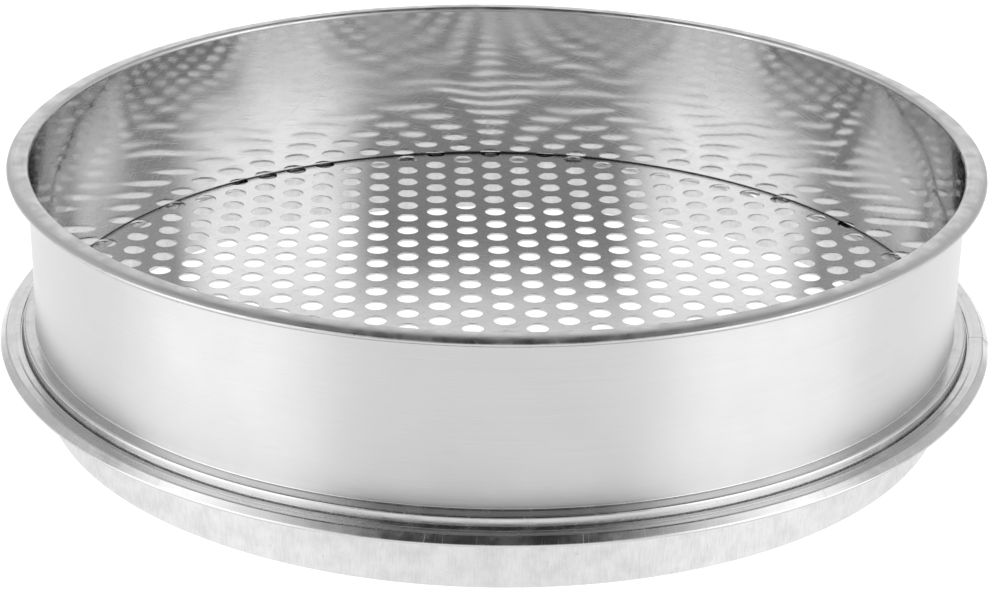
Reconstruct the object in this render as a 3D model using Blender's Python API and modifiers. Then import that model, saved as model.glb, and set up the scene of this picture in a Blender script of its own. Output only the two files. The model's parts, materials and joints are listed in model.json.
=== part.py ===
"""Soil sieve, 200 mm class, with 5 mm round holes.

The frame is a spun steel wall with a domed roll at the top. At its foot the sheet is pressed into a solid
fold, which stands out as a ledge around the wall, and goes on as a flat flange. The perforated plate lies under
that flange. A lower ring, whose skirt nests into the sieve below, carries the plate, and its flange is folded
up and over the edge of both, so that three sheets are clinched into one seam.

+Z is up, the sieve's axis is the Z axis, and the skirt's bottom edge stands on z = 0.
"""

import math

import bpy
from mathutils import Matrix, Vector

# Driving dimensions, in millimetres
SHEET = 0.4  # thickness of the frame and of the lower ring
WALL_RADIUS = 100.2  # middle of the wall's sheet, so the basin is 200 mm across inside
RIM_TOP = 53.5
RIM_RADIUS = 104.6
RIM_HEIGHT = 1.55
RIM_DOME = 0.75  # rise of the rim's top above its widest level
RIM_ROLL = 0.5  # reach of the bend below the widest level, where the sheet turns back under
RIM_CREST_RADII = (101.0, 101.6)  # the flat crest, near the wall, so that the rim slopes outward
RIM_RETURN_RADIUS = 100.9  # raw edge of the roll, just outside the wall

LEDGE_LEVEL = 17.25  # the foot's ledge, where it leaves the wall
LEDGE_FALL = 0.1  # how much lower the ledge is at its edge
LEDGE_RADIUS = 103.05
LEDGE_BEND = 0.6  # shoulder of the ledge
FOOT_RADIUS = 103.45  # the ledge's outer face meets the flange here
FOOT_CORNER = 0.25
WALL_CORNER = 0.3  # between the wall and the ledge
BASIN_CORNER = 0.5  # between the wall's inner side and the underside of the flange
STRAIGHT_ABOVE_FOOT = 1.0
FLANGE_LEVEL = 14.6  # middle of the frame's flange
FLANGE_RADIUS = 106.5

PLATE_THICKNESS = 0.5
PLATE_LEVEL = 14.1  # middle of the plate
PLATE_RADIUS = 106.6
HOLE_DIAMETER = 5.0
HOLE_PITCH = 8.2
HOLE_FIELD_RADIUS = 101.0  # the last hole centres, under the foot of the wall
ROW_ANGLE = 92.2  # degrees from +X to the rows in which holes stand a pitch apart
FIRST_HOLE = (1.87, 1.15)

SKIRT_RADIUS = 98.9  # middle of the skirt's sheet
SKIRT_BEND = 1.2
SEAM_BOTTOM = 13.4
SEAM_TOP = 15.4
SEAM_RADIUS = 108.2
SEAM_SHOULDER = 106.8  # the seam's flat top ends here and slopes down to its outer edge
SEAM_EDGE_LEVEL = 13.95  # top of the upright outer edge, on the sheet's middle
SEAM_SHOULDER_BEND = 0.4
FOLD_END_RADIUS = 103.95
FOLD_END_LEVEL = 15.08
FOLD_STEP_RADII = (104.9, 105.35)  # the fold rises here from the flange to the flat top of the seam
JOINT_ANGLE = -8.0  # degrees from +X to the butt joint of the folded strip
JOINT_GAP = 0.4
JOINT_INNER_RADIUS = 103.7

# How finely the round shapes are divided
TURN_STEPS = 48
BEND_STEPS = 2  # for each quarter turn of a tight bend
DOME_STEPS = 5
HOLE_SIDES = 4

MM = 0.001
MITRE_LIMIT = 0.5  # a sheet's corner reaches out to twice its half thickness at most
LATTICE_MARGIN = 1.3  # a slanted lattice needs more rows than the radius alone gives
CUTTER_MARGIN = 1.0
SAME_POINT = 0.001


def clear_scene():
    for thing in list(bpy.data.objects):
        bpy.data.objects.remove(thing, do_unlink=True)


def new_collection(name):
    collection = bpy.data.collections.new(name)
    bpy.context.scene.collection.children.link(collection)
    return collection


def steel(name, colour, roughness):
    material = bpy.data.materials.new(name)
    material.use_nodes = True
    shader = material.node_tree.nodes["Principled BSDF"]
    shader.inputs["Base Color"].default_value = (*colour, 1.0)
    shader.inputs["Metallic"].default_value = 1.0
    shader.inputs["Roughness"].default_value = roughness
    return material


def bend(before, corner, after, radius, steps):
    """The arc that rounds one corner of a sheet's middle line."""
    inward = (corner - before).normalized()
    outward = (after - corner).normalized()
    turn = inward.angle_signed(outward)  # positive when the line turns clockwise
    reach = radius * math.tan(abs(turn) / 2)
    side = Vector((inward.y, -inward.x)) * math.copysign(radius, turn)
    start = corner - inward * reach
    centre = start + side
    arc = []
    for step in range(steps + 1):
        spoke = start - centre
        spoke.rotate(Matrix.Rotation(-turn * step / steps, 2))
        arc.append(centre + spoke)
    return arc


def bent_line(corners):
    """A sheet's middle line from corners (radius, height, bend radius, bend steps), with the ends left square."""
    points = [Vector(corner[:2]) for corner in corners]
    line = [points[0]]
    for index in range(1, len(corners) - 1):
        _, _, radius, steps = corners[index]
        if not radius:
            line.append(points[index])
            continue
        arc = bend(points[index - 1], points[index], points[index + 1], radius, steps)
        if (arc[0] - line[-1]).length < SAME_POINT:
            arc = arc[1:]  # two bends that meet share this point
        line += arc
    return line + [points[-1]]


def outline_of_sheet(line, thickness):
    """The closed outline around a middle line that runs down the wall: down its outer face, up its inner one."""
    outer, inner = [], []
    for index, point in enumerate(line):
        before = (point - line[index - 1]).normalized() if index else None
        after = (line[index + 1] - point).normalized() if index < len(line) - 1 else None
        along = ((before or after) + (after or before)).normalized()
        across = Vector((-along.y, along.x))
        reach = thickness / 2 / max(along.dot(after or before), MITRE_LIMIT)
        outer.append(point + across * reach)
        inner.append(point - across * reach)
    return outer + inner[::-1]


def turned(name, outline, material, collection):
    """A closed outline, in millimetres, turned about the Z axis."""
    mesh = bpy.data.meshes.new(name)
    count = len(outline)
    mesh.from_pydata(
        [(point.x * MM, 0.0, point.y * MM) for point in outline],
        [(index, (index + 1) % count) for index in range(count)],
        [],
    )
    thing = bpy.data.objects.new(name, mesh)
    collection.objects.link(thing)
    mesh.materials.append(material)
    screw = thing.modifiers.new("Turn", "SCREW")
    screw.axis = "Z"
    screw.angle = math.tau
    screw.steps = screw.render_steps = TURN_STEPS
    screw.use_merge_vertices = False
    screw.use_smooth_shade = True
    return thing


def ellipse_arc(centre, reach, rise, start, end, steps):
    """Points of an ellipse about centre, from one angle to another, in degrees."""
    angles = [math.radians(start + (end - start) * step / steps) for step in range(steps + 1)]
    return [Vector((centre[0] + reach * math.cos(angle), centre[1] + rise * math.sin(angle))) for angle in angles]


def rim_and_wall():
    """Middle line from the roll's raw edge, over the rim, and down the wall to just above the foot."""
    half = SHEET / 2
    outer = RIM_RADIUS - half
    under = RIM_TOP - RIM_HEIGHT + half
    widest = RIM_TOP - half - RIM_DOME
    crest_inner, crest_outer = RIM_CREST_RADII
    line = [Vector((RIM_RETURN_RADIUS, under))]
    line += ellipse_arc((outer - RIM_ROLL, widest), RIM_ROLL, widest - under, -90, 0, BEND_STEPS)[:-1]
    line += ellipse_arc((crest_outer, widest), outer - crest_outer, RIM_DOME, 0, 90, DOME_STEPS)
    line += ellipse_arc((crest_inner, widest), crest_inner - WALL_RADIUS, RIM_DOME, 90, 180, BEND_STEPS + 1)
    return line + [Vector((WALL_RADIUS, LEDGE_LEVEL + STRAIGHT_ABOVE_FOOT))]


def foot_outline():
    """Outline of the foot, from the wall's outer side, around the ledge and the flange, to its inner side."""
    half = SHEET / 2
    start = LEDGE_LEVEL + STRAIGHT_ABOVE_FOOT
    return bent_line([
        (WALL_RADIUS + half, start, 0, 0),
        (WALL_RADIUS + half, LEDGE_LEVEL, WALL_CORNER, BEND_STEPS),
        (LEDGE_RADIUS, LEDGE_LEVEL - LEDGE_FALL, LEDGE_BEND, BEND_STEPS + 1),
        (FOOT_RADIUS, FLANGE_LEVEL + half, FOOT_CORNER, BEND_STEPS),
        (FLANGE_RADIUS, FLANGE_LEVEL + half, 0, 0),
        (FLANGE_RADIUS, FLANGE_LEVEL - half, 0, 0),
        (WALL_RADIUS - half, FLANGE_LEVEL - half, BASIN_CORNER, BEND_STEPS),
        (WALL_RADIUS - half, start, 0, 0),
    ])


def frame_outline():
    line = rim_and_wall()
    sheet = outline_of_sheet(line, SHEET)
    return sheet[:len(line)] + foot_outline()[1:-1] + sheet[len(line):]


def ring_line():
    """Middle line of the lower ring: the fold's raw edge, over the seam, under it, and down the skirt."""
    half = SHEET / 2
    top = SEAM_TOP - half
    under = SEAM_BOTTOM + half
    step_start, step_end = FOLD_STEP_RADII
    return bent_line([
        (FOLD_END_RADIUS, FOLD_END_LEVEL, 0, 0),
        (step_start, FOLD_END_LEVEL, 0, 0),
        (step_end, top, 0, 0),
        (SEAM_SHOULDER, top, SEAM_SHOULDER_BEND, BEND_STEPS),
        (SEAM_RADIUS - half, SEAM_EDGE_LEVEL, 0, 0),
        (SEAM_RADIUS - half, under, 0, 0),
        (SKIRT_RADIUS, under, SKIRT_BEND, BEND_STEPS),
        (SKIRT_RADIUS, 0.0, 0, 0),
    ])


def hole_centres():
    """A 60 degree lattice of hole centres, with one at FIRST_HOLE, inside the field of holes."""
    row = Vector((math.cos(math.radians(ROW_ANGLE)), math.sin(math.radians(ROW_ANGLE)))) * HOLE_PITCH
    slant = math.radians(ROW_ANGLE - 60)
    next_row = Vector((math.cos(slant), math.sin(slant))) * HOLE_PITCH
    reach = math.ceil(HOLE_FIELD_RADIUS / HOLE_PITCH * LATTICE_MARGIN)
    centres = [
        Vector(FIRST_HOLE) + row * along + next_row * across
        for along in range(-reach, reach + 1)
        for across in range(-reach, reach + 1)
    ]
    return [centre for centre in centres if centre.length <= HOLE_FIELD_RADIUS]


def polygon(centre, radius, sides, first_angle):
    return [
        (centre[0] + radius * math.cos(first_angle + math.tau * side / sides),
         centre[1] + radius * math.sin(first_angle + math.tau * side / sides))
        for side in range(sides)
    ]


def perforated_plate(material, collection):
    """A flat disc with its holes. Each hole is a polygon with the area of the round hole it stands for."""
    curve = bpy.data.curves.new("sieve_plate", "CURVE")
    curve.dimensions = "2D"
    curve.fill_mode = "BOTH"
    curve.extrude = PLATE_THICKNESS / 2 * MM
    curve.materials.append(material)
    corner_radius = HOLE_DIAMETER / 2 * math.sqrt(math.tau / (HOLE_SIDES * math.sin(math.tau / HOLE_SIDES)))
    first_corner = math.radians(ROW_ANGLE) + math.pi / HOLE_SIDES
    outlines = [polygon((0, 0), PLATE_RADIUS, TURN_STEPS, 0.0)]
    outlines += [polygon(centre, corner_radius, HOLE_SIDES, first_corner) for centre in hole_centres()]
    for outline in outlines:
        spline = curve.splines.new("POLY")
        spline.points.add(len(outline) - 1)
        for point, (x, y) in zip(spline.points, outline):
            point.co = (x * MM, y * MM, 0.0, 1.0)
        spline.use_cyclic_u = True
    plate = bpy.data.objects.new("sieve_plate", curve)
    plate.location.z = PLATE_LEVEL * MM
    collection.objects.link(plate)
    return plate


def cut_joint(ring, cutters):
    """Opens the butt joint where the two ends of the folded strip meet, through the seam but not the skirt."""
    length = SEAM_RADIUS + CUTTER_MARGIN - JOINT_INNER_RADIUS
    height = SEAM_TOP - SEAM_BOTTOM + 2 * CUTTER_MARGIN
    angle = math.radians(JOINT_ANGLE)
    middle = JOINT_INNER_RADIUS + length / 2
    bpy.ops.mesh.primitive_cube_add(size=1.0)
    cutter = bpy.context.object
    cutter.name = "joint_cutter"
    for vertex in cutter.data.vertices:
        vertex.co = Vector((vertex.co.x * length, vertex.co.y * JOINT_GAP, vertex.co.z * height)) * MM
    cutter.location = Vector((
        middle * math.cos(angle), middle * math.sin(angle), (SEAM_TOP + SEAM_BOTTOM) / 2
    )) * MM
    cutter.rotation_euler.z = angle
    for collection in list(cutter.users_collection):
        collection.objects.unlink(cutter)
    cutters.objects.link(cutter)
    cutter.hide_render = True
    cutter.display_type = "WIRE"
    cut = ring.modifiers.new("Joint", "BOOLEAN")
    cut.operation = "DIFFERENCE"
    cut.object = cutter


def main():
    clear_scene()
    parts = new_collection("soil_sieve")
    cutters = new_collection("cutters")
    bright = steel("bright_steel", (0.80, 0.80, 0.80), 0.12)
    plate_steel = steel("plate_steel", (0.74, 0.74, 0.74), 0.15)
    satin = steel("satin_steel", (0.76, 0.76, 0.76), 0.32)
    turned("upper_frame", frame_outline(), bright, parts)
    perforated_plate(plate_steel, parts)
    ring = turned("lower_ring", outline_of_sheet(ring_line(), SHEET), satin, parts)
    cut_joint(ring, cutters)


main()
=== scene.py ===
"""The looks of the soil sieve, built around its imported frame.

Three finely divided pieces take the places of the three faceted CAD nodes: the spun upper frame, the sieve
plate with its round holes, and the lower ring with the rolled seam. Each has its own steel. Sizes in this
file are in millimetres, and a mesh is made in metres.
"""

import json
import math

import bmesh
import bpy
import numpy as np
from mathutils import Matrix, Vector


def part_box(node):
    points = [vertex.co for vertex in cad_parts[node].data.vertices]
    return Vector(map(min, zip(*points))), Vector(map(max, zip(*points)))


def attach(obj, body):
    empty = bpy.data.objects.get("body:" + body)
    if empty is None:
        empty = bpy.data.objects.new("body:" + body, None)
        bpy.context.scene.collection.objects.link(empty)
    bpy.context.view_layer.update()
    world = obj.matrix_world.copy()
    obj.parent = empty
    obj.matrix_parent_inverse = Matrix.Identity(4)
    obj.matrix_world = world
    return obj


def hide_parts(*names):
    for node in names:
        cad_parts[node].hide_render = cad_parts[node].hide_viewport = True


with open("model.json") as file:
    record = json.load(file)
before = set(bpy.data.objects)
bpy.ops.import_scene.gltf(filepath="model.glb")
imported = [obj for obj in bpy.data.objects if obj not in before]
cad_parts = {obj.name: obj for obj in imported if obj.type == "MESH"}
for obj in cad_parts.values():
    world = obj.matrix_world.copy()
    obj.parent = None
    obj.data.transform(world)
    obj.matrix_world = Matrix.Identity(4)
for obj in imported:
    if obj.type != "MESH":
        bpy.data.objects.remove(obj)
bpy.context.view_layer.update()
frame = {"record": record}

MM = 0.001

# Sizes that the frame doesn't state, as the part's design has them
SHEET = 0.4
WALL_RADIUS = 100.2  # middle of the wall's sheet
RIM_RADIUS = 104.6
RIM_HEIGHT = 1.55
RIM_DOME = 0.75  # rise of the domed top above the rim's widest level
RIM_ROLL = 0.5  # bend below the widest level, where the sheet turns back under
RIM_CREST_RADII = (101.0, 101.6)  # the flat crest, near the wall
RIM_RETURN_RADIUS = 100.9
LEDGE_LEVEL = 17.25  # the foot's ledge, where it leaves the wall
LEDGE_FALL = 0.1
LEDGE_RADIUS = 103.05
LEDGE_BEND = 0.6
FOOT_RADIUS = 103.45
FOOT_CORNER = 0.25
WALL_CORNER = 0.3
BASIN_CORNER = 0.5
STRAIGHT_ABOVE_FOOT = 1.0
SKIRT_BEND = 1.2
SEAM_RADIUS = 108.2
SEAM_SHOULDER = 106.8
SEAM_SHOULDER_BEND = 0.4
SEAM_EDGE_LEVEL = 13.95
SEAM_EDGE_BEND = 0.22
FOLD_END_RADIUS = 103.95
FOLD_STEP_RADII = (104.9, 105.35)
FOLD_END_LEVEL = 15.08
HOLE_DIAMETER = 5.0
HOLE_PITCH = 8.2
HOLE_FIELD_RADIUS = 101.0
ROW_ANGLE = 92.2
FIRST_HOLE = (1.87, 1.15)
HOLE_EDGE = 0.06  # rounding of a punched hole's edges
JOINT_ANGLE = -8.0
JOINT_GAP = 0.12
JOINT_INNER_RADIUS = 103.7
JOINT_STEP = 0.2  # how far one end of the strip lies inside the other
JOINT_STEP_SPAN = 5.0  # degrees over which that end comes back out
JOINT_STEP_REACH = 2.0  # how far outward from the joint's inner end the step grows to its full depth

# How finely the shapes are divided
TURN_STEPS = 360
BEND_STEPS = 8
DOME_STEPS = 25
HOLE_SIDES = 32
LONGEST_ROW = 2.0
EDGE_ROW = 0.12  # a row this far from each bend keeps the flat stretches flat in the shading
SAME_POINT = 0.001
SHARP_ANGLE = 35.0
FLAT_NORMAL = 0.9  # a face whose normal is closer to the axis than this is flat
MITRE_LIMIT = 0.5  # a sheet's corner reaches out to twice its half thickness at most
LATTICE_MARGIN = 1.3  # a slanted lattice needs more rows than the radius alone gives
CUTTER_MARGIN = 1.0
TABLE_RADIUS = 20.0  # metres
TABLE_SIDES = 96

# The wall's shallow waves: how many around, how they lean with height, and where they start
WAVE_DEPTH = 0.022
WALL_WAVES = ((9, 0.05, 0.4), (14, -0.09, 2.1), (23, 0.13, 4.0), (31, -0.16, 1.2))

# The viewpoint
FOCAL_LENGTH = 90.28
SENSOR_WIDTH = 36.0
EYE = (0.4, -508.5, 236.2)
PITCH = 23.31
ROLL = 0.86

# The studio: each panel's strength, its azimuths measured from the camera's side, and its top, in degrees
CEILING_LIGHT = 0.04
PANEL_EDGE = 26.0
PANELS = (
    (0.6, -30.0, 40.0, 31.0),  # the room behind the camera
    (2.3, 38.0, 94.0, 48.0),  # large panels to its left and right
    (0.75, 90.0, 155.0, 64.0),  # the flanks
    (1.2, 152.0, 210.0, 38.0),  # the backdrop
)
FLOOR_GLOW = 1.0


def box_mm(node):
    low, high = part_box(node)
    return low / MM, high / MM


FRAME_LOW, FRAME_HIGH = box_mm("upper_frame")
PLATE_LOW, PLATE_HIGH = box_mm("sieve_plate")
RING_LOW, RING_HIGH = box_mm("lower_ring")
MOUNTS = {mount["name"]: Vector(mount["pos_m"]) / MM for mount in frame["record"]["mounts"]}
RIM_TOP = FRAME_HIGH.z
FLANGE_LEVEL = FRAME_LOW.z + SHEET / 2
FLANGE_RADIUS = FRAME_HIGH.x
SEAM_TOP = RING_HIGH.z
SEAM_BOTTOM = MOUNTS["nest_seat"].z
SKIRT_RADIUS = MOUNTS["foot"].x
WALL_TOP = RIM_TOP - RIM_HEIGHT
WALL_FOOT = LEDGE_LEVEL + WALL_CORNER


# ---- Profiles of bent sheet ----


def bend(before, corner, after, radius):
    """The arc that rounds one corner of a sheet's middle line."""
    inward = (corner - before).normalized()
    outward = (after - corner).normalized()
    turn = inward.angle_signed(outward)  # positive when the line turns clockwise
    reach = radius * math.tan(abs(turn) / 2)
    side = Vector((inward.y, -inward.x)) * math.copysign(radius, turn)
    start = corner - inward * reach
    centre = start + side
    arc = []
    for step in range(BEND_STEPS + 1):
        spoke = start - centre
        spoke.rotate(Matrix.Rotation(-turn * step / BEND_STEPS, 2))
        arc.append(centre + spoke)
    return arc


def bent_line(corners):
    """A sheet's middle line from corners (radius, height, bend radius), with the ends left square."""
    points = [Vector(corner[:2]) for corner in corners]
    line = [points[0]]
    for index in range(1, len(corners) - 1):
        radius = corners[index][2]
        if not radius:
            line.append(points[index])
            continue
        arc = bend(points[index - 1], points[index], points[index + 1], radius)
        if (arc[0] - line[-1]).length < SAME_POINT:
            arc = arc[1:]  # two bends that meet share this point
        line += arc
    return line + [points[-1]]


def with_rows(line):
    """The line with each long straight stretch divided, and with a point close to each of its ends."""
    divided = [line[0]]
    for start, end in zip(line, line[1:]):
        length = (end - start).length
        if length > 4 * EDGE_ROW:
            edge = EDGE_ROW / length
            rows = math.ceil(length / LONGEST_ROW)
            shares = [edge] + [row / rows for row in range(1, rows)] + [1 - edge]
            divided += [start.lerp(end, share) for share in shares]
        divided.append(end)
    return divided


def outline_of_sheet(line):
    """The closed outline around a middle line that runs down the wall: its outer face, then its inner one."""
    outer, inner = [], []
    for index, point in enumerate(line):
        before = (point - line[index - 1]).normalized() if index else None
        after = (line[index + 1] - point).normalized() if index < len(line) - 1 else None
        along = ((before or after) + (after or before)).normalized()
        across = Vector((-along.y, along.x))
        reach = SHEET / 2 / max(along.dot(after or before), MITRE_LIMIT)
        outer.append(point + across * reach)
        inner.append(point - across * reach)
    return outer + inner[::-1]


def ellipse_arc(centre, reach, rise, start, end, steps):
    """Points of an ellipse about centre, from one angle to another, in degrees."""
    angles = [math.radians(start + (end - start) * step / steps) for step in range(steps + 1)]
    return [
        Vector((centre[0] + reach * math.cos(angle), centre[1] + rise * math.sin(angle)))
        for angle in angles
    ]


def rim_and_wall():
    """Middle line from the roll's raw edge, over the rim, and down the wall to just above the foot."""
    half = SHEET / 2
    outer = RIM_RADIUS - half
    under = RIM_TOP - RIM_HEIGHT + half
    widest = RIM_TOP - half - RIM_DOME
    crest_inner, crest_outer = RIM_CREST_RADII
    line = [Vector((RIM_RETURN_RADIUS, under))]
    line += ellipse_arc((outer - RIM_ROLL, widest), RIM_ROLL, widest - under, -90, 0, BEND_STEPS)[:-1]
    line += ellipse_arc((crest_outer, widest), outer - crest_outer, RIM_DOME, 0, 90, DOME_STEPS)
    line += ellipse_arc((crest_inner, widest), crest_inner - WALL_RADIUS, RIM_DOME, 90, 180, BEND_STEPS)
    return with_rows(line + [Vector((WALL_RADIUS, LEDGE_LEVEL + STRAIGHT_ABOVE_FOOT))])


def foot_outline():
    """Outline of the foot, from the wall's outer side, around the ledge and the flange, to its inner side."""
    half = SHEET / 2
    start = LEDGE_LEVEL + STRAIGHT_ABOVE_FOOT
    return with_rows(bent_line([
        (WALL_RADIUS + half, start, 0),
        (WALL_RADIUS + half, LEDGE_LEVEL, WALL_CORNER),
        (LEDGE_RADIUS, LEDGE_LEVEL - LEDGE_FALL, LEDGE_BEND),
        (FOOT_RADIUS, FLANGE_LEVEL + half, FOOT_CORNER),
        (FLANGE_RADIUS, FLANGE_LEVEL + half, 0),
        (FLANGE_RADIUS, FLANGE_LEVEL - half, 0),
        (WALL_RADIUS - half, FLANGE_LEVEL - half, BASIN_CORNER),
        (WALL_RADIUS - half, start, 0),
    ]))


def frame_outline():
    line = rim_and_wall()
    sheet = outline_of_sheet(line)
    return sheet[:len(line)] + foot_outline()[1:-1] + sheet[len(line):]


def ring_line():
    """Middle line of the lower ring: the fold's raw edge, over the seam, under it, and down the skirt."""
    half = SHEET / 2
    top = SEAM_TOP - half
    under = SEAM_BOTTOM + half
    step_start, step_end = FOLD_STEP_RADII
    return with_rows(bent_line([
        (FOLD_END_RADIUS, FOLD_END_LEVEL, 0),
        (step_start, FOLD_END_LEVEL, 0.3),
        (step_end, top, 0.3),
        (SEAM_SHOULDER, top, SEAM_SHOULDER_BEND),
        (SEAM_RADIUS - half, SEAM_EDGE_LEVEL, SEAM_EDGE_BEND),
        (SEAM_RADIUS - half, under, SEAM_EDGE_BEND),
        (SKIRT_RADIUS, under, SKIRT_BEND),
        (SKIRT_RADIUS, 0.0, 0),
    ]))


# ---- Meshes ----


def new_piece(name, mesh, node):
    """An object for the mesh that rides on the frame and stands for a CAD node."""
    piece = bpy.data.objects.new(name, mesh)
    bpy.context.scene.collection.objects.link(piece)
    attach(piece, "root")
    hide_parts(node)
    return piece


def turned_mesh(name, outline, warp):
    """A closed outline turned about the Z axis. warp(angle, radius, height) gives a point's shift outward."""
    radii = np.array([point.x for point in outline])
    heights = np.array([point.y for point in outline])
    angles = np.arange(TURN_STEPS) * math.tau / TURN_STEPS
    angle_grid, radius_grid = np.meshgrid(angles, radii, indexing="ij")
    height_grid = np.broadcast_to(heights, radius_grid.shape)
    radius_grid = radius_grid + warp(angle_grid, radius_grid, height_grid)
    points = np.stack([
        radius_grid * np.cos(angle_grid), radius_grid * np.sin(angle_grid), height_grid,
    ], axis=-1).reshape(-1, 3) * MM
    count = len(outline)
    turn, place = np.meshgrid(np.arange(TURN_STEPS), np.arange(count), indexing="ij")
    next_turn, next_place = (turn + 1) % TURN_STEPS, (place + 1) % count
    faces = np.stack([
        turn * count + place, turn * count + next_place,
        next_turn * count + next_place, next_turn * count + place,
    ], axis=-1).reshape(-1, 4)
    mesh = bpy.data.meshes.new(name)
    mesh.from_pydata(points.tolist(), [], faces.tolist())
    mesh.validate()
    finish_shading(mesh)
    return mesh


def finish_shading(mesh):
    mesh.shade_smooth()
    mesh.set_sharp_from_angle(angle=math.radians(SHARP_ANGLE))


def wall_waves(angle, radius, height):
    """The thin wall isn't quite round: shallow waves, but none at the rim and the foot, which are stiff."""
    share = np.clip((height - WALL_FOOT) / (WALL_TOP - WALL_FOOT), 0.0, 1.0)
    waves = np.zeros_like(angle)
    for count, lean, shift in WALL_WAVES:
        waves = waves + np.sin(count * angle + lean * height + shift)
    return WAVE_DEPTH * waves * np.sin(math.pi * share) ** 2


def joint_step(angle, radius, height):
    """Beside the butt joint, one end of the folded strip lies a little further in than the other."""
    past = (np.degrees(angle) - JOINT_ANGLE + 180.0) % 360.0 - 180.0
    inside = np.where(past < 0, np.clip(1 + past / JOINT_STEP_SPAN, 0.0, 1.0), 0.0)
    return -JOINT_STEP * inside * np.clip((radius - JOINT_INNER_RADIUS) / JOINT_STEP_REACH, 0.0, 1.0)


def cut_joint(ring):
    """Opens the butt joint of the folded strip with a thin cutter, through the seam but not the skirt."""
    length = SEAM_RADIUS + CUTTER_MARGIN - JOINT_INNER_RADIUS
    angle = math.radians(JOINT_ANGLE)
    spoke = Vector((math.cos(angle), math.sin(angle), 0.0))
    middle = spoke * (JOINT_INNER_RADIUS + length / 2) + Vector((0, 0, (SEAM_TOP + SEAM_BOTTOM) / 2))
    bpy.ops.mesh.primitive_cube_add(size=MM, location=middle * MM, rotation=(0, 0, angle))
    cutter = bpy.context.object
    cutter.scale = (length, JOINT_GAP, SEAM_TOP - SEAM_BOTTOM + 2 * CUTTER_MARGIN)
    cut = ring.modifiers.new("Joint", "BOOLEAN")
    cut.object = cutter
    bpy.context.view_layer.objects.active = ring
    bpy.ops.object.modifier_apply(modifier=cut.name)
    bpy.data.objects.remove(cutter)
    finish_shading(ring.data)


def paint(piece, materials, zone):
    """Gives each face the material whose place in the list zone(radius, height) names."""
    for material in materials:
        piece.data.materials.append(material)
    for face in piece.data.polygons:
        centre = face.center / MM
        face.material_index = zone(math.hypot(centre.x, centre.y), centre.z)


def frame_zone(radius, height):
    """0 inside the wall, 1 outside it, 2 on the rim, 3 on the foot and its flange."""
    if height > WALL_TOP:
        return 2
    if radius < WALL_RADIUS:
        return 0
    return 3 if height < WALL_FOOT else 1


def ring_zone(radius, height):
    """0 on the seam, 1 on the skirt."""
    return 0 if height > SEAM_BOTTOM - SKIRT_BEND / 2 else 1


# ---- Materials ----


class Nodes:
    """Short ways to add nodes to one node tree."""

    def __init__(self, tree):
        self.tree = tree

    def add(self, kind, **settings):
        node = self.tree.nodes.new(kind)
        for name, value in settings.items():
            setattr(node, name, value)
        return node

    def set(self, socket, value):
        if isinstance(value, bpy.types.NodeSocket):
            self.tree.links.new(value, socket)
        else:
            socket.default_value = value

    def math(self, operation, *values):
        node = self.add("ShaderNodeMath", operation=operation)
        for socket, value in zip(node.inputs, values):
            self.set(socket, value)
        return node.outputs[0]

    def ramp(self, value, low, high, low_result=0.0, high_result=1.0):
        """value from low to high as a smooth step from low_result to high_result."""
        node = self.add("ShaderNodeMapRange", interpolation_type="SMOOTHSTEP")
        for name, setting in (("Value", value), ("From Min", low), ("From Max", high),
                              ("To Min", low_result), ("To Max", high_result)):
            self.set(node.inputs[name], setting)
        return node.outputs["Result"]

    def noise(self, vector, scale, detail=2.0, roughness=0.5):
        node = self.add("ShaderNodeTexNoise")
        for name, setting in (("Vector", vector), ("Scale", scale), ("Detail", detail),
                              ("Roughness", roughness)):
            self.set(node.inputs[name], setting)
        return node.outputs["Fac"]

    def vector(self, x, y, z):
        node = self.add("ShaderNodeCombineXYZ")
        for socket, value in zip(node.inputs, (x, y, z)):
            self.set(socket, value)
        return node.outputs[0]

    def bump(self, height, strength, distance, normal=None):
        """distance is in millimetres."""
        node = self.add("ShaderNodeBump")
        for name, setting in (("Height", height), ("Strength", strength), ("Distance", distance * MM)):
            self.set(node.inputs[name], setting)
        if normal:
            self.set(node.inputs["Normal"], normal)
        return node.outputs["Normal"]


class Place:
    """Where a shaded point is, in millimetres: x, y, z, its radius, and its way around the axis."""

    def __init__(self, make):
        split = make.add("ShaderNodeSeparateXYZ")
        make.set(split.inputs[0], make.add("ShaderNodeTexCoord").outputs["Object"])
        self.x, self.y, self.z = (make.math("DIVIDE", output, MM) for output in split.outputs)
        squares = (make.math("MULTIPLY", value, value) for value in (self.x, self.y))
        self.radius = make.math("SQRT", make.math("ADD", *squares))
        self.around = make.math("MULTIPLY", make.math("ARCTAN2", self.y, self.x), WALL_RADIUS)


def lines_around(make, place, width, length):
    """Fine lines that run around the axis, as spinning leaves them: noise from 0 to 1."""
    across = make.math("DIVIDE", make.math("SUBTRACT", place.z, place.radius), width)
    return make.noise(make.vector(
        make.math("DIVIDE", place.x, length), make.math("DIVIDE", place.y, length), across,
    ), 1.0, 3.0, 0.6)


def scratches(make, u, v, turn, width, length, share):
    """Thin straight marks at one angle on the surface that u and v measure: 1 on a mark, 0 beside it."""
    cos, sin = math.cos(math.radians(turn)), math.sin(math.radians(turn))
    along = make.math("ADD", make.math("MULTIPLY", u, cos / length), make.math("MULTIPLY", v, sin / length))
    across = make.math("MULTIPLY", v, cos / width)
    across = make.math("SUBTRACT", across, make.math("MULTIPLY", u, sin / width))
    field = make.noise(make.vector(along, across, turn), 1.0, 0.0)
    return make.ramp(field, share, share + 0.05)


def metal(name, grey):
    """A Principled metal, with its node maker and the place of the shaded point."""
    material = bpy.data.materials.new(name)
    material.use_nodes = True
    shader = material.node_tree.nodes["Principled BSDF"]
    shader.inputs["Base Color"].default_value = (grey, grey, grey, 1.0)
    shader.inputs["Metallic"].default_value = 1.0
    make = Nodes(material.node_tree)
    return material, shader, make, Place(make)


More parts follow.
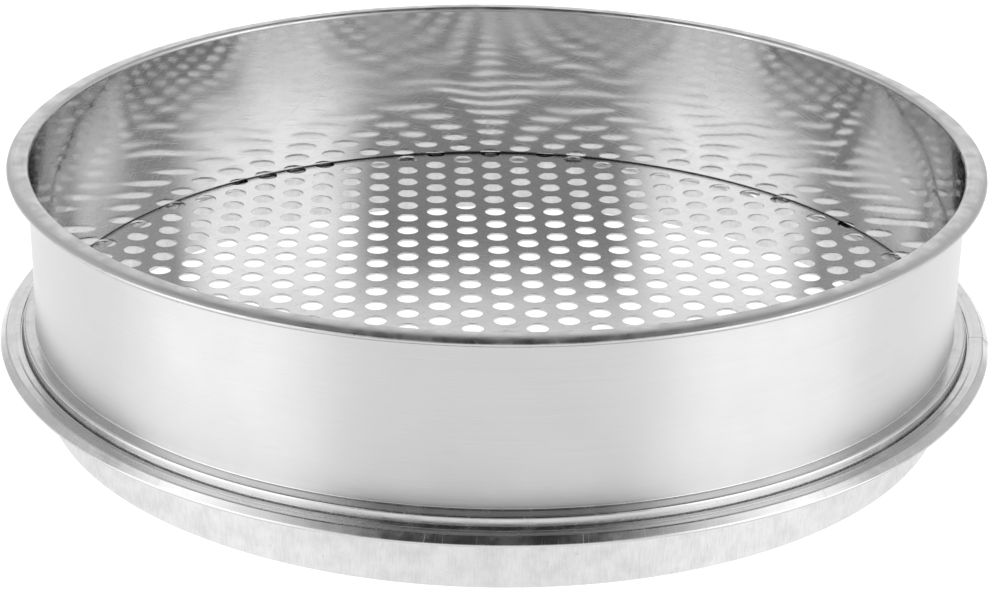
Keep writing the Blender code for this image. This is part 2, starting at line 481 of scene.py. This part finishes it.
def grey_varied(make, shader, grey, low, high, field):
    """The base colour follows field, from grey * low to grey * high."""
    value = make.ramp(field, 0.3, 0.7, grey * low, grey * high)
    make.set(shader.inputs["Base Color"], make.vector(value, value, value))


def polished_wall():
    """The inside of the wall: nearly a mirror, with faint turning lines, a few scratches and hazy patches."""
    material, shader, make, place = metal("polished_wall", 0.6)
    lines = lines_around(make, place, 0.5, 40.0)
    haze = make.noise(make.vector(place.around, place.z, 0.0), 1 / 22, 3.0)
    marks = scratches(make, place.around, place.z, 12.0, 0.12, 7.0, 0.71)
    marks = make.math("MAXIMUM", marks, scratches(make, place.around, place.z, -38.0, 0.12, 5.0, 0.73))
    rough = make.math("ADD", make.ramp(haze, 0.35, 0.7, 0.045, 0.10), make.math("MULTIPLY", lines, 0.02))
    make.set(shader.inputs["Roughness"], make.math("ADD", rough, make.math("MULTIPLY", marks, 0.25)))
    grey_varied(make, shader, 0.6, 0.97, 1.02, haze)
    make.set(shader.inputs["Normal"], make.bump(lines, 0.5, 0.002, make.bump(marks, 0.4, 0.004)))
    return material


def brushed_wall():
    """The outside of the wall: brushed around the axis, so it blurs what it mirrors upward and downward."""
    material, shader, make, place = metal("brushed_wall", 0.62)
    lines = lines_around(make, place, 0.12, 30.0)
    smudge = make.noise(make.vector(place.around, place.z, 0.0), 1 / 16, 4.0, 0.6)
    marks = scratches(make, place.around, place.z, 2.0, 0.15, 6.0, 0.73)
    tangent = make.add("ShaderNodeTangent", direction_type="RADIAL", axis="Z")
    make.set(shader.inputs["Tangent"], tangent.outputs[0])
    shader.inputs["Anisotropic"].default_value = 0.85
    shader.inputs["Anisotropic Rotation"].default_value = 0.25
    rough = make.ramp(smudge, 0.3, 0.7, 0.26, 0.32)
    make.set(shader.inputs["Roughness"], make.math("ADD", rough, make.math("MULTIPLY", lines, 0.06)))
    both = make.math("ADD", make.math("MULTIPLY", lines, 0.5), make.math("MULTIPLY", smudge, 0.5))
    both = make.math("SUBTRACT", both, make.math("MULTIPLY", marks, 0.2))
    grey_varied(make, shader, 0.62, 0.95, 1.04, both)
    make.set(shader.inputs["Normal"], make.bump(lines, 0.4, 0.002, make.bump(marks, 0.3, 0.01)))
    return material


def rolled_steel(name, grey, roughness, line_width):
    """The rim, the foot and the seam: burnished by the rollers, with strong lines around the axis."""
    material, shader, make, place = metal(name, grey)
    lines = lines_around(make, place, line_width, 18.0)
    wear = make.noise(make.vector(place.around, place.z, place.radius), 1 / 6, 4.0, 0.65)
    marks = scratches(make, place.around, make.math("ADD", place.z, place.radius), 25.0, 0.1, 2.5, 0.74)
    rough = make.ramp(wear, 0.3, 0.75, roughness * 0.75, roughness * 1.5)
    make.set(shader.inputs["Roughness"], make.math("ADD", rough, make.math("MULTIPLY", marks, 0.2)))
    mixed = make.math("ADD", make.math("MULTIPLY", lines, 0.6), make.math("MULTIPLY", wear, 0.4))
    grey_varied(make, shader, grey, 0.88, 1.06, mixed)
    make.set(shader.inputs["Normal"], make.bump(lines, 0.6, 0.006, make.bump(wear, 0.3, 0.02)))
    return material


def mottled_skirt():
    """The skirt: dull sheet with cloudy patches, fine upright grain and small dark specks."""
    material, shader, make, place = metal("mottled_skirt", 0.68)
    cloud = make.noise(make.vector(place.around, place.z, 0.0), 1 / 5, 4.0, 0.65)
    grain = make.noise(make.vector(
        make.math("DIVIDE", place.around, 0.35), make.math("DIVIDE", place.z, 3.5), place.radius,
    ), 1.0, 3.0, 0.6)
    specks = make.ramp(make.noise(make.vector(place.around, place.z, 7.0), 1.1, 1.0), 0.74, 0.78)
    mixed = make.math("ADD", make.math("MULTIPLY", cloud, 0.6), make.math("MULTIPLY", grain, 0.4))
    mixed = make.math("SUBTRACT", mixed, make.math("MULTIPLY", specks, 0.35))
    make.set(shader.inputs["Roughness"], make.ramp(mixed, 0.3, 0.7, 0.50, 0.32))
    grey_varied(make, shader, 0.68, 0.88, 1.06, mixed)
    make.set(shader.inputs["Normal"], make.bump(grain, 0.5, 0.01, make.bump(cloud, 0.4, 0.04)))
    return material


def rolled_sheet():
    """The plate: rolled sheet with a faint grain along one direction, haze and scratches both ways."""
    material, shader, make, place = metal("rolled_sheet", 0.6)
    grain = make.noise(make.vector(
        make.math("DIVIDE", place.x, 12.0), make.math("DIVIDE", place.y, 0.25), 0.0,
    ), 1.0, 2.0)
    haze = make.noise(make.vector(place.x, place.y, 3.0), 1 / 18, 4.0, 0.6)
    marks = scratches(make, place.x, place.y, 35.0, 0.12, 5.0, 0.72)
    marks = make.math("MAXIMUM", marks, scratches(make, place.x, place.y, -60.0, 0.12, 4.0, 0.73))
    rough = make.ramp(haze, 0.3, 0.7, 0.19, 0.27)
    make.set(shader.inputs["Roughness"], make.math("ADD", rough, make.math("MULTIPLY", marks, 0.15)))
    mixed = make.math("ADD", make.math("MULTIPLY", grain, 0.4), make.math("MULTIPLY", haze, 0.6))
    grey_varied(make, shader, 0.6, 0.93, 1.05, mixed)
    make.set(shader.inputs["Normal"], make.bump(grain, 0.4, 0.004, make.bump(marks, 0.4, 0.01)))
    return material


# ---- The sieve plate ----


def hole_centres():
    """A 60 degree lattice of hole centres, with one at FIRST_HOLE, inside the field of holes."""
    row = Vector((math.cos(math.radians(ROW_ANGLE)), math.sin(math.radians(ROW_ANGLE)))) * HOLE_PITCH
    slant = math.radians(ROW_ANGLE - 60)
    next_row = Vector((math.cos(slant), math.sin(slant))) * HOLE_PITCH
    reach = math.ceil(HOLE_FIELD_RADIUS / HOLE_PITCH * LATTICE_MARGIN)
    centres = [
        Vector(FIRST_HOLE) + row * along + next_row * across
        for along in range(-reach, reach + 1)
        for across in range(-reach, reach + 1)
    ]
    return [centre for centre in centres if centre.length <= HOLE_FIELD_RADIUS]


def circle(centre, radius, sides, way):
    return [
        (centre[0] + radius * math.cos(way * math.tau * side / sides),
         centre[1] + radius * math.sin(way * math.tau * side / sides))
        for side in range(sides)
    ]


def plate_mesh():
    """The flat sheet with its punched holes, whose edges are slightly rounded."""
    curve = bpy.data.curves.new("plate_outline", "CURVE")
    curve.dimensions = "2D"
    curve.fill_mode = "BOTH"
    thickness = PLATE_HIGH.z - PLATE_LOW.z
    curve.extrude = (thickness / 2 - HOLE_EDGE) * MM
    curve.bevel_depth = HOLE_EDGE * MM
    curve.bevel_resolution = 1
    curve.offset = -HOLE_EDGE * MM
    outlines = [circle((0, 0), PLATE_HIGH.x, TURN_STEPS, 1)]
    outlines += [circle(centre, HOLE_DIAMETER / 2, HOLE_SIDES, -1) for centre in hole_centres()]
    for outline in outlines:
        spline = curve.splines.new("POLY")
        spline.points.add(len(outline) - 1)
        for point, (x, y) in zip(spline.points, outline):
            point.co = (x * MM, y * MM, 0.0, 1.0)
        spline.use_cyclic_u = True
    guide = bpy.data.objects.new("plate_outline", curve)
    guide.location.z = (PLATE_HIGH.z + PLATE_LOW.z) / 2 * MM
    bpy.context.scene.collection.objects.link(guide)
    bpy.context.view_layer.update()
    mesh = bpy.data.meshes.new_from_object(guide.evaluated_get(bpy.context.evaluated_depsgraph_get()))
    mesh.transform(guide.matrix_world)
    bpy.data.objects.remove(guide)
    bpy.data.curves.remove(curve)
    welded = bmesh.new()
    welded.from_mesh(mesh)
    bmesh.ops.remove_doubles(welded, verts=welded.verts, dist=SAME_POINT * MM)
    welded.to_mesh(mesh)
    welded.free()
    for face in mesh.polygons:
        face.use_smooth = abs(face.normal.z) < FLAT_NORMAL  # only the edges of the sheet are round
    return mesh


# ---- The stage ----


def floor():
    """A wide white table that glows a little, as a lit studio table does."""
    bpy.ops.mesh.primitive_circle_add(vertices=TABLE_SIDES, radius=TABLE_RADIUS, fill_type="NGON")
    table = bpy.context.object
    table.name = "floor"
    material = bpy.data.materials.new("lit_table")
    material.use_nodes = True
    shader = material.node_tree.nodes["Principled BSDF"]
    shader.inputs["Base Color"].default_value = (0.15, 0.15, 0.15, 1.0)
    shader.inputs["Roughness"].default_value = 0.3
    shader.inputs["Emission Color"].default_value = (1.0, 1.0, 1.0, 1.0)
    shader.inputs["Emission Strength"].default_value = FLOOR_GLOW
    table.data.materials.append(material)


def panel(make, side, height, strength, start, end, top):
    """A soft-edged light panel on both sides of the camera, between two azimuths and up to a height."""
    half = PANEL_EDGE / 2
    light = make.ramp(side, start - half, start + half, 0.0, strength)
    light = make.math("MULTIPLY", light, make.ramp(side, end - half, end + half, 1.0, 0.0))
    return make.math("MULTIPLY", light, make.ramp(height, top - half, top + half, 1.0, 0.0))


def studio_world():
    """A dark ceiling and a ring of light panels, which the steel mirrors. The camera itself sees white."""
    world = bpy.data.worlds.new("studio")
    bpy.context.scene.world = world
    world.use_nodes = True
    make = Nodes(world.node_tree)
    background = world.node_tree.nodes["Background"]
    direction = make.add("ShaderNodeSeparateXYZ")
    make.set(direction.inputs[0], make.add("ShaderNodeTexCoord").outputs["Generated"])
    x, y, z = direction.outputs
    degree = math.pi / 180
    azimuth = make.math("ARCTAN2", x, make.math("MULTIPLY", y, -1.0))  # 0 towards the camera
    side = make.math("DIVIDE", make.math("ABSOLUTE", azimuth), degree)
    height = make.math("DIVIDE", make.math("ARCSINE", z), degree)
    light = CEILING_LIGHT
    for settings in PANELS:
        light = make.math("MAXIMUM", light, panel(make, side, height, *settings))
    seen = make.add("ShaderNodeLightPath").outputs["Is Camera Ray"]
    make.set(background.inputs["Strength"], make.math("MAXIMUM", light, seen))
    background.inputs["Color"].default_value = (1.0, 1.0, 1.0, 1.0)


def camera():
    data = bpy.data.cameras.new("camera")
    data.lens = FOCAL_LENGTH
    data.sensor_width = SENSOR_WIDTH
    eye = bpy.data.objects.new("camera", data)
    bpy.context.scene.collection.objects.link(eye)
    look = Matrix.Rotation(math.radians(90 - PITCH), 4, "X") @ Matrix.Rotation(math.radians(ROLL), 4, "Z")
    eye.matrix_world = Matrix.Translation(Vector(EYE) * MM) @ look
    bpy.context.scene.camera = eye


def main():
    bpy.context.scene.view_settings.view_transform = "Standard"
    mesh = turned_mesh("upper_frame_shell", frame_outline(), wall_waves)
    upper = new_piece("upper_frame_shell", mesh, "upper_frame")
    rim = rolled_steel("rim_steel", 0.58, 0.34, 0.25)
    foot = rolled_steel("foot_steel", 0.56, 0.22, 0.3)
    paint(upper, [polished_wall(), brushed_wall(), rim, foot], frame_zone)
    mesh = turned_mesh("lower_ring_shell", outline_of_sheet(ring_line()), joint_step)
    lower = new_piece("lower_ring_shell", mesh, "lower_ring")
    cut_joint(lower)
    paint(lower, [rolled_steel("seam_steel", 0.6, 0.22, 0.2), mottled_skirt()], ring_zone)
    plate = new_piece("perforated_plate", plate_mesh(), "sieve_plate")
    plate.data.materials.append(rolled_sheet())
    floor()
    studio_world()
    camera()


main()
